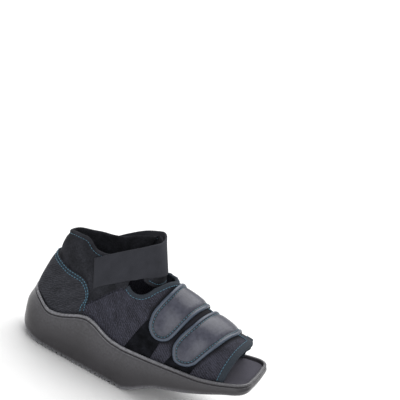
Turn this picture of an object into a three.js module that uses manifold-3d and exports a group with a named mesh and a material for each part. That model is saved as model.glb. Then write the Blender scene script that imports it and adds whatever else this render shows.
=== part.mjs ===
import * as THREE from 'three';
import Module from 'manifold-3d';

// Right postoperative shoe in millimetres: heel back at x = 0, toe towards +X, outer side towards -Y, tread at z = 0.
const rimGap = 5.0;
const upperTuck = 2.6;
const panelThick = 3.0;
const flapDrop = 3.9;
const flapShift = 0.2;
const overlayClear = 0.7;
const counterThick = 1.4;
const bandThick = 1.1;
const strapClear = 2.5;
const strapEdgeThick = 1.6;
const strapPadding = 1.5;
const ankleStrapThick = 2.2;
const recessInset = 4.2;
const insoleInset = 4.8;
const insoleThick = 4.8;
const treadStart = 29;
const treadPitch = 6;
const treadBars = 17;
const treadGroove = 2.4;
const treadDepth = 1.6;
const toeSkew = 0.04;
const toeLean = 0.32;

// Plan of the sole: half widths on the outer and inner side.
const outlineRows = [
  { x: 0, outer: 0, inner: 0 },
  { x: 3.5, outer: 14, inner: 14 },
  { x: 12, outer: 24.5, inner: 24.5 },
  { x: 28, outer: 32, inner: 31.5 },
  { x: 50, outer: 35.5, inner: 34.5 },
  { x: 75, outer: 38, inner: 36 },
  { x: 100, outer: 40.5, inner: 37 },
  { x: 125, outer: 43, inner: 39 },
  { x: 150, outer: 46.5, inner: 43 },
  { x: 180, outer: 49.5, inner: 47 },
  { x: 210, outer: 50.5, inner: 48 },
  { x: 236, outer: 47.5, inner: 46 },
  { x: 252, outer: 42, inner: 42.5 },
  { x: 259.2, outer: 33, inner: 35 },
  { x: 261.2, outer: 16, inner: 18 },
  { x: 261.7, outer: 0, inner: 0 },
];

// Heights along the shoe: top of the rim, underside, and floor of the recess for the foot.
const rimRows = [
  { x: 0, z: 54 }, { x: 12, z: 49.5 }, { x: 26, z: 43.5 }, { x: 40, z: 46 }, { x: 51, z: 51 }, { x: 61, z: 56 },
  { x: 70, z: 58 }, { x: 80, z: 56 }, { x: 92, z: 51 }, { x: 102, z: 48 }, { x: 112, z: 47 }, { x: 122, z: 47 },
  { x: 140, z: 49 }, { x: 163, z: 52 }, { x: 186, z: 55 }, { x: 209, z: 58 }, { x: 226, z: 62 }, { x: 241, z: 66 },
  { x: 256, z: 69.5 }, { x: 262, z: 70.5 },
];
const baseRows = [
  { x: 0, z: 16 }, { x: 3, z: 11.5 }, { x: 11, z: 5 }, { x: 24, z: 1.2 }, { x: 38, z: 0 }, { x: 84, z: 0 },
  { x: 131, z: 0 }, { x: 143, z: 5 }, { x: 153, z: 12 }, { x: 165, z: 19.5 }, { x: 177, z: 24.5 }, { x: 197, z: 32 },
  { x: 216, z: 40 }, { x: 234, z: 48 }, { x: 252, z: 55.5 }, { x: 262, z: 60.5 },
];
const floorRows = [
  { x: 0, z: 31.5 }, { x: 40, z: 30 }, { x: 70, z: 32 }, { x: 100, z: 36 }, { x: 130, z: 39.8 }, { x: 163, z: 43.8 },
  { x: 186, z: 46.8 }, { x: 209, z: 50 }, { x: 226, z: 54 }, { x: 241, z: 58 }, { x: 256, z: 61.5 }, { x: 262, z: 62.5 },
];

// Upper stations from the heel back (first row) to the toe edge (last row).
// foot is the place on the plan outline; topX, topY, topZ end the wall at the topline or the ridge.
// rise, reach and drop bend the wall between its foot and its top.
const upperRows = [
  { foot: 0, topX: 11, topY: 0, topZ: 128, rise: 0.35, reach: 0, drop: 0.35 },
  { foot: 1.25, topX: 17, topY: 15, topZ: 130.2, rise: 0.35, reach: 0, drop: 0.35 },
  { foot: 2.8, topX: 36, topY: 26, topZ: 131, rise: 0.35, reach: 0, drop: 0.35 },
  { foot: 4, topX: 60, topY: 31, topZ: 141, rise: 0.36, reach: 0, drop: 0.35 },
  { foot: 5, topX: 85, topY: 29, topZ: 157, rise: 0.38, reach: 0.1, drop: 0.35 },
  { foot: 5.9, topX: 104, topY: 17, topZ: 168, rise: 0.42, reach: 0.35, drop: 0.22 },
  { foot: 6.6, topX: 114, topY: 0, topZ: 171, rise: 0.46, reach: 0.55, drop: 0 },
  { foot: 7.2, topX: 130, topY: 0, topZ: 139, rise: 0.5, reach: 0.6, drop: 0 },
  { foot: 7.95, topX: 150, topY: 0, topZ: 119.5, rise: 0.56, reach: 0.62, drop: 0 },
  { foot: 9, topX: 182, topY: 0, topZ: 111, rise: 0.58, reach: 0.64, drop: 0 },
  { foot: 9.85, topX: 210, topY: 0, topZ: 102, rise: 0.6, reach: 0.64, drop: 0 },
  { foot: 10.9, topX: 240.8, topY: 0, topZ: 98.5, rise: 0.6, reach: 0.64, drop: 0 },
];
const lastRow = upperRows.length - 1;
const ridgeStart = 6;

// Edges on the upper: station along the shoe against height share, where 1 is the ridge and more is past it.
const toplineRows = [
  { s: 0, outer: 0.985, inner: 0.985 },
  { s: 0.55, outer: 1.012, inner: 0.968 },
  { s: 1.08, outer: 1.04, inner: 0.958 },
  { s: 1.66, outer: 1.074, inner: 0.962 },
  { s: 1.9, outer: 1.078, inner: 0.964 },
  { s: 2.13, outer: 1.052, inner: 0.96 },
  { s: 2.34, outer: 1, inner: 0.948 },
  { s: 2.53, outer: 0.961, inner: 0.932 },
  { s: 2.78, outer: 0.93, inner: 0.912 },
  { s: 3.07, outer: 0.906, inner: 0.897 },
  { s: 3.6, outer: 0.89, inner: 0.89 },
  { s: 4.2, outer: 0.89, inner: 0.89 },
  { s: 4.8, outer: 0.89, inner: 0.89 },
];
const seamRows = [
  { s: 3.2, h: 0.165 }, { s: 3.48, h: 0.203 }, { s: 3.84, h: 0.304 }, { s: 4.18, h: 0.408 }, { s: 4.51, h: 0.463 },
  { s: 4.83, h: 0.442 },
];
const throatRows = [
  { s: 4.72, h: 0.463 }, { s: 4.8, h: 0.456 }, { s: 5.04, h: 0.415 }, { s: 5.4, h: 0.374 }, { s: 5.76, h: 0.357 },
  { s: 6.06, h: 0.369 }, { s: 6.37, h: 0.43 }, { s: 6.55, h: 0.489 }, { s: 6.8, h: 0.574 }, { s: 7.01, h: 0.669 },
  { s: 7.22, h: 0.767 }, { s: 7.43, h: 0.886 }, { s: 7.6, h: 0.985 }, { s: 7.82, h: 1.08 }, { s: 8.2, h: 1.115 },
  { s: 9, h: 1.12 }, { s: 10.5, h: 1.12 }, { s: 10.8, h: 1.11 }, { s: 11, h: 1.08 },
];
const counterRows = [
  { s: 0, h: 0.64 }, { s: 0.5, h: 0.614 }, { s: 1.1, h: 0.605 }, { s: 1.5, h: 0.603 }, { s: 2.01, h: 0.599 },
  { s: 2.49, h: 0.572 }, { s: 2.81, h: 0.51 }, { s: 3.15, h: 0.387 }, { s: 3.35, h: 0.266 }, { s: 3.41, h: 0.17 },
  { s: 3.45, h: 0.06 },
];
const collarStations = [0, 0.4, 0.8, 1.2, 1.6, 2, 2.4, 2.8, 3.14, 3.22, 3.5, 3.8, 4.1, 4.4, 4.72];
const counterStations = [0, 0.45, 0.9, 1.3, 1.7, 2.1, 2.45, 2.75, 3, 3.17, 3.29, 3.37, 3.42, 3.45];

// Straps: back and front edge station for each height share, from the rounded end over the ridge to the inner side.
const rearStrapRows = [
  { h: 0.217, back: 7.75, front: 8.02 }, { h: 0.231, back: 7.49, front: 8.19 }, { h: 0.268, back: 7.22, front: 8.36 },
  { h: 0.318, back: 7.11, front: 8.445 }, { h: 0.388, back: 7.07, front: 8.515 }, { h: 0.496, back: 7.2, front: 8.595 },
  { h: 0.639, back: 7.385, front: 8.69 }, { h: 0.79, back: 7.535, front: 8.79 }, { h: 0.92, back: 7.63, front: 8.88 },
  { h: 1, back: 7.67, front: 8.925 }, { h: 1.08, back: 7.71, front: 8.95 }, { h: 1.21, back: 7.77, front: 8.98 },
  { h: 1.36, back: 7.84, front: 8.99 }, { h: 1.55, back: 7.91, front: 8.99 }, { h: 1.76, back: 7.96, front: 9 },
  { h: 1.952, back: 8, front: 9 },
];
const frontStrapRows = [
  { h: 0.086, back: 8.97, front: 9.2 }, { h: 0.1, back: 8.83, front: 9.4 }, { h: 0.125, back: 8.75, front: 9.53 },
  { h: 0.175, back: 8.66, front: 9.68 }, { h: 0.25, back: 8.59, front: 9.79 }, { h: 0.34, back: 8.62, front: 9.9 },
  { h: 0.44, back: 8.7, front: 10.01 }, { h: 0.58, back: 8.835, front: 10.15 }, { h: 0.71, back: 8.925, front: 10.24 },
  { h: 0.87, back: 9.03, front: 10.335 }, { h: 1, back: 9.12, front: 10.415 }, { h: 1.13, back: 9.2, front: 10.475 },
  { h: 1.29, back: 9.27, front: 10.52 }, { h: 1.45, back: 9.31, front: 10.55 }, { h: 1.65, back: 9.34, front: 10.56 },
  { h: 1.85, back: 9.35, front: 10.56 }, { h: 1.95, back: 9.35, front: 10.56 },
];
const rearBandRows = [
  { h: 0.03, back: 6.24, front: 8.02 }, { h: 0.136, back: 6.55, front: 8.08 }, { h: 0.263, back: 6.88, front: 8.13 },
  { h: 0.38, back: 7.2, front: 8.22 }, { h: 0.6, back: 7.5, front: 8.4 },
];
const frontBandRows = [
  { h: 0.03, back: 8.55, front: 9.65 }, { h: 0.119, back: 8.65, front: 9.7 }, { h: 0.28, back: 8.82, front: 9.8 },
  { h: 0.6, back: 9.1, front: 10.05 },
];
// Ankle strap along the outer wing: upper and lower edge from its rear end to the front of the wing.
const wingStrapRows = [
  { topS: 2.62, topH: 0.852, lowS: 3.34, lowH: 0.387 }, { topS: 3.12, topH: 0.909, lowS: 3.85, lowH: 0.463 },
  { topS: 3.9, topH: 0.948, lowS: 4.5, lowH: 0.523 }, { topS: 4.72, topH: 0.953, lowS: 5.15, lowH: 0.523 },
];
// Ankle front on the middle plane, where the strap crosses: its upper and lower edge.
const ankleFront = { topX: 107, topZ: 162, lowX: 124.3, lowZ: 127, turn: 0.3 };
const wingShare = 0.52;
// Ankle tab: lower edge as a share of the strap's width, along the strap from its rear end to the ankle front.
const tabRows = [
  { along: 0.58, low: 0.98 }, { along: 0.64, low: 1.1 }, { along: 0.715, low: 1.185 }, { along: 0.805, low: 1.265 },
  { along: 0.9, low: 1.295 }, { along: 1, low: 1.29 },
];
const tabTop = 0.14;

const outer = -1;
const inner = 1;

function curveOf(points, closed = false) {
  return new THREE.CatmullRomCurve3(points, closed, 'centripetal');
}

// Value of a two-column table at a place in its first column.
function valueAt(rows, key, value, place) {
  const count = rows.length - 1;
  let i = rows.findIndex((row) => row[key] > place) - 1;
  if (i === -2) i = count - 1;
  if (i < 0) i = 0;
  const share = (place - rows[i][key]) / (rows[i + 1][key] - rows[i][key]);
  const slope = (k) => {
    const a = rows[Math.max(0, k - 1)];
    const b = rows[Math.min(count, k + 1)];
    return (b[value] - a[value]) / (b[key] - a[key]);
  };
  const width = rows[i + 1][key] - rows[i][key];
  const a = rows[i][value];
  const b = rows[i + 1][value];
  const p = slope(i) * width;
  const q = slope(i + 1) * width;
  const t = Math.min(1.5, Math.max(-0.5, share));
  return a + p * t + (3 * (b - a) - 2 * p - q) * t * t + (2 * (a - b) + p + q) * t * t * t;
}

const rimAt = (x) => valueAt(rimRows, 'x', 'z', x);
const baseAt = (x) => Math.max(0, valueAt(baseRows, 'x', 'z', x));
const floorAt = (x) => valueAt(floorRows, 'x', 'z', x);

const smooth = (low, high, value) => THREE.MathUtils.smoothstep(value, low, high);

// The front edge runs askew: the inner corner of the toe lies further forward than the outer one.
const skewed = (x, y) => new THREE.Vector3(x + toeSkew * y * smooth(225, 258, x), y, 0);
const loopPoints = [
  ...outlineRows.map((row) => skewed(row.x, -row.outer)),
  ...outlineRows.slice(1, -1).reverse().map((row) => skewed(row.x, row.inner)),
];
const loopCurve = curveOf(loopPoints, true);

// Point of the plan outline, moved inwards by an inset.
function outlinePoint(side, place, inset) {
  const share = (side === outer ? place : loopPoints.length - place) / loopPoints.length;
  const wrapped = ((share % 1) + 1) % 1;
  const point = loopCurve.getPoint(wrapped);
  const before = loopCurve.getPoint((wrapped - 0.0004 + 1) % 1);
  const after = loopCurve.getPoint((wrapped + 0.0004) % 1);
  const along = after.sub(before).normalize();
  return point.add(new THREE.Vector3(-along.y, along.x, 0).multiplyScalar(inset));
}

const bothSides = (make) => [
  ...upperRows.slice(1).reverse().map((row) => make(row, outer)),
  make(upperRows[0], outer),
  ...upperRows.slice(1).map((row) => make(row, inner)),
];
const footCurve = curveOf(bothSides((row, side) => outlinePoint(side, row.foot, rimGap)));
const topCurve = curveOf(bothSides((row, side) => new THREE.Vector3(row.topX, side * row.topY, row.topZ)));
const bendCurve = curveOf(bothSides((row) => new THREE.Vector3(row.rise, row.reach, row.drop)));

// Point of one side of the upper's outer surface.
function wallPoint(side, s, h) {
  const share = THREE.MathUtils.clamp((lastRow + side * s) / (2 * lastRow), 0, 1);
  const foot = footCurve.getPoint(share);
  foot.z = rimAt(foot.x) - upperTuck;
  const top = topCurve.getPoint(share);
  top.y = s < 0 ? top.y : side * Math.max(0, side * top.y);
  const bend = bendCurve.getPoint(share);
  const high = top.z - foot.z;
  const low = foot.clone().add(new THREE.Vector3(0, 0, bend.x * high));
  const lean = new THREE.Vector3(foot.x - top.x, foot.y - top.y, 0).multiplyScalar(bend.y);
  const up = top.clone().add(lean).add(new THREE.Vector3(0, 0, -bend.z * high));
  return new THREE.CubicBezierCurve3(foot, low, up, top).getPoint(h);
}

// Point of the upper with the ridge crossed where h is above 1, lifted off the surface by a distance.
function upperPoint(side, s, h, lift = 0) {
  const place = (a, b) => (b > 1 && a >= ridgeStart ? wallPoint(-side, a, 2 - b) : wallPoint(side, a, b));
  const point = place(s, h);
  if (lift === 0) return point;
  const step = 0.004;
  const along = place(s + step, h).sub(place(s - step, h));
  const across = place(s, h + step).sub(place(s, h - step));
  const normal = along.cross(across).multiplyScalar(-side).normalize();
  return point.addScaledVector(normal, lift);
}

// Closed body from triangles given as point triples.
function bodyOf(triangles) {
  const positions = [];
  for (const triangle of triangles) {
    for (const point of triangle) positions.push(point.x, point.y, point.z);
  }
  let volume = 0;
  for (const [a, b, c] of triangles) volume += a.dot(new THREE.Vector3().crossVectors(b, c)) / 6;
  if (volume < 0) {
    for (let i = 0; i < positions.length; i += 9) {
      for (let k = 0; k < 3; k += 1) {
        const swap = positions[i + 3 + k];
        positions[i + 3 + k] = positions[i + 6 + k];
        positions[i + 6 + k] = swap;
      }
    }
  }
  const geometry = new THREE.BufferGeometry();
  geometry.setAttribute('position', new THREE.Float32BufferAttribute(positions, 3));
  return geometry;
}

function quad(list, a, b, c, d) {
  if (a.distanceToSquared(c) <= b.distanceToSquared(d)) {
    list.push([a, b, c], [a, c, d]);
  } else {
    list.push([a, b, d], [b, c, d]);
  }
}

// Sheet of a thickness: two faces over columns and rows, closed along its four borders.
function sheetBody(columns, rows, place) {
  const face = (back) => Array.from({ length: columns + 1 }, (_, i) =>
    Array.from({ length: rows + 1 }, (_, j) => place(i, j, back)));
  const top = face(false);
  const under = face(true);
  const list = [];
  for (let i = 0; i < columns; i += 1) {
    for (let j = 0; j < rows; j += 1) {
      quad(list, top[i][j], top[i + 1][j], top[i + 1][j + 1], top[i][j + 1]);
      quad(list, under[i][j + 1], under[i + 1][j + 1], under[i + 1][j], under[i][j]);
    }
  }
  for (let i = 0; i < columns; i += 1) {
    quad(list, under[i][0], under[i + 1][0], top[i + 1][0], top[i][0]);
    quad(list, top[i][rows], top[i + 1][rows], under[i + 1][rows], under[i][rows]);
  }
  for (let j = 0; j < rows; j += 1) {
    quad(list, top[0][j], top[0][j + 1], under[0][j + 1], under[0][j]);
    quad(list, under[columns][j], under[columns][j + 1], top[columns][j + 1], top[columns][j]);
  }
  return bodyOf(list);
}

// Body from closed loops of equal length, capped by a ladder of rungs between the two sides.
function loopBody(loops) {
  const list = [];
  const count = loops[0].length;
  for (let r = 0; r + 1 < loops.length; r += 1) {
    for (let i = 0; i < count; i += 1) {
      const k = (i + 1) % count;
      quad(list, loops[r][i], loops[r][k], loops[r + 1][k], loops[r + 1][i]);
    }
  }
  const ladder = (loop, flip) => {
    const half = count / 2;
    for (let i = 0; i < half; i += 1) {
      const a = loop[i];
      const b = loop[i + 1];
      const c = loop[(count - i - 1) % count];
      const d = loop[(count - i) % count];
      const rung = [];
      if (i === 0) rung.push([a, b, c]);
      else if (i === half - 1) rung.push([a, b, d]);
      else rung.push([a, b, c], [a, c, d]);
      for (const triangle of rung) list.push(flip ? [triangle[0], triangle[2], triangle[1]] : triangle);
    }
  };
  ladder(loops[0], true);
  ladder(loops[loops.length - 1], false);
  return bodyOf(list);
}

const wasm = await Module();
wasm.setup();

function toManifold(geometry) {
  const position = geometry.getAttribute('position');
  const points = new Map();
  const vertProperties = [];
  const triVerts = [];
  for (let i = 0; i < position.count; i += 1) {
    const at = [position.getX(i), position.getY(i), position.getZ(i)];
    const key = at.map((value) => value.toFixed(4)).join(' ');
    if (!points.has(key)) {
      points.set(key, points.size);
      vertProperties.push(...at);
    }
    triVerts.push(points.get(key));
  }
  const mesh = new wasm.Mesh({
    numProp: 3,
    vertProperties: new Float32Array(vertProperties),
    triVerts: new Uint32Array(triVerts),
  });
  return new wasm.Manifold(mesh);
}

function fromManifold(solid) {
  const mesh = solid.getMesh();
  const geometry = new THREE.BufferGeometry();
  const positions = [];
  for (let i = 0; i < mesh.triVerts.length; i += 1) {
    const at = mesh.triVerts[i] * mesh.numProp;
    positions.push(mesh.vertProperties[at], mesh.vertProperties[at + 1], mesh.vertProperties[at + 2]);
  }
  geometry.setAttribute('position', new THREE.Float32BufferAttribute(positions, 3));
  return geometry;
}

// Ring of the sole at an inset from the plan outline, with a height for each point.
// The toe's front wall stands square to the rising forefoot, so it leans forward as it goes down.
const ringSteps = 38;
function ring(inset, height) {
  const loop = [];
  for (let i = 0; i < 2 * ringSteps; i += 1) {
    const side = i <= ringSteps ? outer : inner;
    const step = i <= ringSteps ? i : 2 * ringSteps - i;
    const place = (step / ringSteps) * (outlineRows.length - 1);
    const point = outlinePoint(side, place, inset);
    point.z = height(point.x);
    point.x += toeLean * (rimAt(point.x) - point.z) * smooth(236, 256, point.x);
    loop.push(point);
  }
  return loop;
}

// Sole: rounded underside, bulged side, groove, rim bead and recess.
const beadScale = (x) => THREE.MathUtils.clamp((rimAt(x) - baseAt(x)) / 17, 0.55, 1);
const belowRim = (depth) => (x) => rimAt(x) - depth * beadScale(x);
const aboveBase = (rise) => (x) => baseAt(x) + Math.min(rise, 0.3 * (rimAt(x) - baseAt(x)));
const soleLoops = [
  ring(5.5, baseAt),
  ring(2.6, aboveBase(1)),
  ring(0.8, aboveBase(4)),
  ring(0, (x) => THREE.MathUtils.lerp(baseAt(x), rimAt(x), 0.42)),
  ring(0.9, belowRim(6.4)),
  ring(1.9, belowRim(5.4)),
  ring(0.9, belowRim(4.4)),
  ring(0.7, belowRim(2.2)),
  ring(1.5, belowRim(0.6)),
  ring(2.5, belowRim(0)),
  ring(3.7, belowRim(0.7)),
  ring(recessInset, belowRim(2)),
  ring(recessInset + 0.1, floorAt),
];
let soleSolid = toManifold(loopBody(soleLoops));
for (let i = 1; i < treadBars; i += 1) {
  const groove = new THREE.BoxGeometry(treadGroove, 140, 2 * treadDepth);
  groove.translate(treadStart + i * treadPitch, 0, 0);
  soleSolid = soleSolid.subtract(toManifold(groove.toNonIndexed()));
}
const soleGeometry = fromManifold(soleSolid);

// Insole: a flat sheet on the recess floor that stays below the edge of the upper.
const insoleTop = (x) => Math.min(floorAt(x) + insoleThick, rimAt(x) - upperTuck - 0.8);
const insoleGeometry = loopBody([
  ring(insoleInset + 0.5, (x) => floorAt(x) + 0.4),
  ring(insoleInset, (x) => floorAt(x) + 1.2),
  ring(insoleInset, (x) => insoleTop(x) - 0.8),
  ring(insoleInset + 0.9, insoleTop),
]);

// Panels that wrap the heel: stations run from the outer side round the back to the inner side.
function heelPanel(stations, rows, low, high, clear, thick) {
  const around = [...stations.slice(1).reverse().map((s) => -s), ...stations];
  return sheetBody(around.length - 1, rows, (i, j, back) => {
    const s = Math.abs(around[i]);
    const side = around[i] <= 0 ? outer : inner;
    const h = THREE.MathUtils.lerp(low(s), high(s, side), j / rows);
    return upperPoint(side, s, h, back ? clear : clear + thick);
  });
}

const seamAt = (s) => valueAt(seamRows, 's', 'h', s);
const toplineAt = (s, side) => valueAt(toplineRows, 's', side === outer ? 'outer' : 'inner', s);
const counterAt = (s) => valueAt(counterRows, 's', 'h', s);
const collarLow = (s) => (s < 3.18 ? 0 : seamAt(s) + 0.006);
const collarGeometry = heelPanel(collarStations, 8, collarLow, toplineAt, -panelThick, panelThick);
const counterGeometry = heelPanel(counterStations, 6, () => 0.04, counterAt, overlayClear, counterThick);

// Side panel with its flap: the outer flap lies on top, the inner one starts further forward and dips below it.
function quarterBody(side, first, dips) {
  const columns = 32;
  const rows = 11;
  return sheetBody(columns, rows, (i, j, back) => {
    const s = THREE.MathUtils.lerp(first, lastRow, i / columns);
    const shifted = s - (dips ? flapShift * smooth(6.7, 7.3, s) : 0);
    const top = s < 4.78 ? seamAt(s) - 0.006 : valueAt(throatRows, 's', 'h', shifted);
    const h = (j / rows) * top;
    const dip = dips ? flapDrop * smooth(0.68, 0.88, h) : 0;
    return upperPoint(side, s, h, (back ? -panelThick : 0) - dip);
  });
}
const lateralGeometry = quarterBody(outer, 3.28, false);
const medialGeometry = quarterBody(inner, 3.28, true);

// Strap between two edge tables, padded along its middle.
function bandBody(rows, steps, across, lift) {
  const curve = curveOf(rows.map((row) => new THREE.Vector3(row.h * 4, row.back, row.front)));
  const columns = (rows.length - 1) * steps;
  return sheetBody(columns, across, (i, j, back) => {
    const at = curve.getPoint(i / columns);
    const share = j / across;
    const s = THREE.MathUtils.lerp(at.y, at.z, share);
    return upperPoint(outer, s, at.x / 4, lift(at.x / 4, share, back, i / columns));
  });
}
const strapLift = (h, share, back, along) => {
  const under = THREE.MathUtils.lerp(strapClear, overlayClear + 0.3, smooth(0.95, 1.3, h));
  if (back) return under;
  const middle = (1 - (2 * share - 1) ** 4) * smooth(0, 0.12, along);
  return under + strapEdgeThick + strapPadding * middle;
};
const bandLift = (h, share, back) => (back ? overlayClear : overlayClear + bandThick);
const rearStrapGeometry = bandBody(rearStrapRows, 2, 6, strapLift);
const frontStrapGeometry = bandBody(frontStrapRows, 2, 6, strapLift);
const rearBandGeometry = bandBody(rearBandRows, 2, 6, bandLift);
const frontBandGeometry = bandBody(frontBandRows, 2, 5, bandLift);

// Surface that the ankle strap follows: the wing's wall first, then a rounded turn to the ankle front.
const wingCurve = {
  top: curveOf(wingStrapRows.map((row) => new THREE.Vector3(row.topS, row.topH * 4, 0))),
  low: curveOf(wingStrapRows.map((row) => new THREE.Vector3(row.lowS, row.lowH * 4, 0))),
};
function anklePlace(side, along, share) {
  if (along > 1) return anklePlace(-side, 2 - along, share);
  const onWing = (wing) => {
    const at = wingCurve.top.getPoint(wing).lerp(wingCurve.low.getPoint(wing), share);
    return wallPoint(side, at.x, at.y / 4);
  };
  if (along <= wingShare) return onWing(along / wingShare);
  const start = onWing(1);
  const front = new THREE.Vector3(
    THREE.MathUtils.lerp(ankleFront.topX, ankleFront.lowX, share),
    0,
    THREE.MathUtils.lerp(ankleFront.topZ, ankleFront.lowZ, share),
  );
  const heading = start.clone().sub(onWing(0.97)).setLength(start.distanceTo(front) * ankleFront.turn);
  const turn = new THREE.CubicBezierCurve3(
    start,
    start.clone().add(heading),
    new THREE.Vector3(front.x, start.y / 2, front.z),
    front,
  );
  return turn.getPoint((along - wingShare) / (1 - wingShare));
}
function anklePoint(side, along, share, lift) {
  const step = 0.004;
  const a = anklePlace(side, along + step, share).sub(anklePlace(side, Math.max(0, along - step), share));
  const b = anklePlace(side, along, share - step).sub(anklePlace(side, along, share + step));
  const normal = a.cross(b).multiplyScalar(-side).normalize();
  return anklePlace(side, along, share).addScaledVector(normal, lift);
}
function ankleBody(half, across, first, top, low, clear, thick) {
  return sheetBody(2 * half, across, (i, j, back) => {
    const side = i <= half ? outer : inner;
    const along = THREE.MathUtils.lerp(first, 1, (i <= half ? i : 2 * half - i) / half);
    const share = THREE.MathUtils.lerp(top, low(along), j / across);
    return anklePoint(side, along, share, back ? clear : clear + thick);
  });
}
const ankleStrapGeometry = ankleBody(16, 4, 0, 0, () => 1, overlayClear + 0.2, ankleStrapThick);
const tabLow = (along) => valueAt(tabRows, 'along', 'low', along);
const tabGeometry = ankleBody(10, 5, 0.58, tabTop, tabLow, -panelThick, panelThick);

const material = (color, roughness) => new THREE.MeshStandardMaterial({ color, roughness, metalness: 0 });
const foam = material(0x47454a, 0.7);
const insoleFoam = material(0x4a4954, 0.85);
const padded = material(0x25262a, 0.9);
const stiff = material(0x35363b, 0.85);
const mesh = material(0x2c2d34, 0.95);
const pile = material(0x15161a, 1);
const leather = material(0x4c4e54, 0.45);
const webbing = material(0x303136, 0.85);

const part = new THREE.Group();
part.name = 'postoperative_shoe';
const bodies = [
  ['sole', soleGeometry, foam],
  ['insole', insoleGeometry, insoleFoam],
  ['collar', collarGeometry, padded],
  ['heel_counter', counterGeometry, stiff],
  ['lateral_quarter', lateralGeometry, mesh],
  ['medial_quarter', medialGeometry, mesh],
  ['loop_band_rear', rearBandGeometry, pile],
  ['loop_band_front', frontBandGeometry, pile],
  ['strap_rear', rearStrapGeometry, leather],
  ['strap_front', frontStrapGeometry, leather],
  ['ankle_strap', ankleStrapGeometry, webbing],
  ['ankle_tab', tabGeometry, padded],
];
const box = new THREE.Box3();
for (const [, geometry] of bodies) {
  geometry.computeBoundingBox();
  box.union(geometry.boundingBox);
}
const middle = box.getCenter(new THREE.Vector3());
for (const [name, geometry, look] of bodies) {
  geometry.translate(-middle.x, -middle.y, -box.min.z);
  geometry.computeVertexNormals();
  const body = new THREE.Mesh(geometry, look);
  body.name = name;
  part.add(body);
}

export default part;
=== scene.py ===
import math

import bmesh
import bpy
import numpy as np
from mathutils import Matrix, Vector, noise
from mathutils.kdtree import KDTree


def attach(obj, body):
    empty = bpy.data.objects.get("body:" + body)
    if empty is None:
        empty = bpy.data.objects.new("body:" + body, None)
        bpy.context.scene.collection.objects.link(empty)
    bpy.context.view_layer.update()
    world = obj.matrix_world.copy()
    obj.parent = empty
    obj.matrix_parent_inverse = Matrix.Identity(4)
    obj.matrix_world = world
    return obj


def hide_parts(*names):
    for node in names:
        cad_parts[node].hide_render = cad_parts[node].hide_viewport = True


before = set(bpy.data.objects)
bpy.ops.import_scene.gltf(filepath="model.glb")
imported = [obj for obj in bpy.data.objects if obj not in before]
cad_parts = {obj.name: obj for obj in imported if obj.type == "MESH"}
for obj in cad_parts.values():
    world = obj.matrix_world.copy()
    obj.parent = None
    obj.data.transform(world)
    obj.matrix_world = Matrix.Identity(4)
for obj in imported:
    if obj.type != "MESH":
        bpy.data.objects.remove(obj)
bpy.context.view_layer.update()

# Sole: one casting of charcoal polyurethane foam, a heel wedge that thins to a squared forefoot plate.
# The mould gives it a rolled rim with a groove under it, a fine stipple on the side and a barred tread.
# All tables are in millimetres from the back of the heel; the frame's origin is at the middle of the shoe.
heel_to_middle = np.array([131.926, -1.17, 0.0])
outer_side, inner_side = -1, 1
outline_rows = np.array([
    (0, 0, 0), (3.5, 14, 14), (12, 24.5, 24.5), (28, 32, 31.5), (50, 35.5, 34.5), (75, 38, 36),
    (100, 40.5, 37), (125, 43, 39), (150, 46.5, 43), (180, 49.5, 47), (210, 50.5, 48), (236, 47.5, 46),
    (252, 42, 42.5), (259.2, 33, 35), (261.2, 16, 18), (261.7, 0, 0),
])
# The toe's front edge runs askew, and its wall leans forward to stand square to the rising forefoot.
toe_skew, toe_lean = 0.04, 0.32
rim_rows = np.array([
    (0, 54), (12, 49.5), (26, 43.5), (40, 46), (51, 51), (61, 56), (70, 58), (80, 56), (92, 51), (102, 48),
    (112, 47), (122, 47), (140, 49), (163, 52), (186, 55), (209, 58), (226, 62), (241, 66), (256, 69.5),
    (262, 70.5),
])
base_rows = np.array([
    (0, 16), (3, 11.5), (11, 5), (24, 1.2), (38, 0), (84, 0), (131, 0), (143, 5), (153, 12), (165, 19.5),
    (177, 24.5), (197, 32), (216, 40), (234, 48), (252, 55.5), (262, 60.5),
])
floor_rows = np.array([
    (0, 31.5), (40, 30), (70, 32), (100, 36), (130, 39.8), (163, 43.8), (186, 46.8), (209, 50), (226, 54),
    (241, 58), (256, 61.5), (262, 62.5),
])


def table_value(rows, column, place):
    """Smooth value of a table's column at places in its first column."""
    place = np.asarray(place, float)
    key, value = rows[:, 0], rows[:, column]
    last = len(key) - 1
    before = np.maximum(np.arange(last + 1) - 1, 0)
    after = np.minimum(np.arange(last + 1) + 1, last)
    slope = (value[after] - value[before]) / (key[after] - key[before])
    i = np.clip(np.searchsorted(key, place, side="right") - 1, 0, last - 1)
    width = key[i + 1] - key[i]
    t = np.clip((place - key[i]) / width, -0.5, 1.5)
    a, b, p, q = value[i], value[i + 1], slope[i] * width, slope[i + 1] * width
    return a + p * t + (3 * (b - a) - 2 * p - q) * t ** 2 + (2 * (a - b) + p + q) * t ** 3


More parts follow.
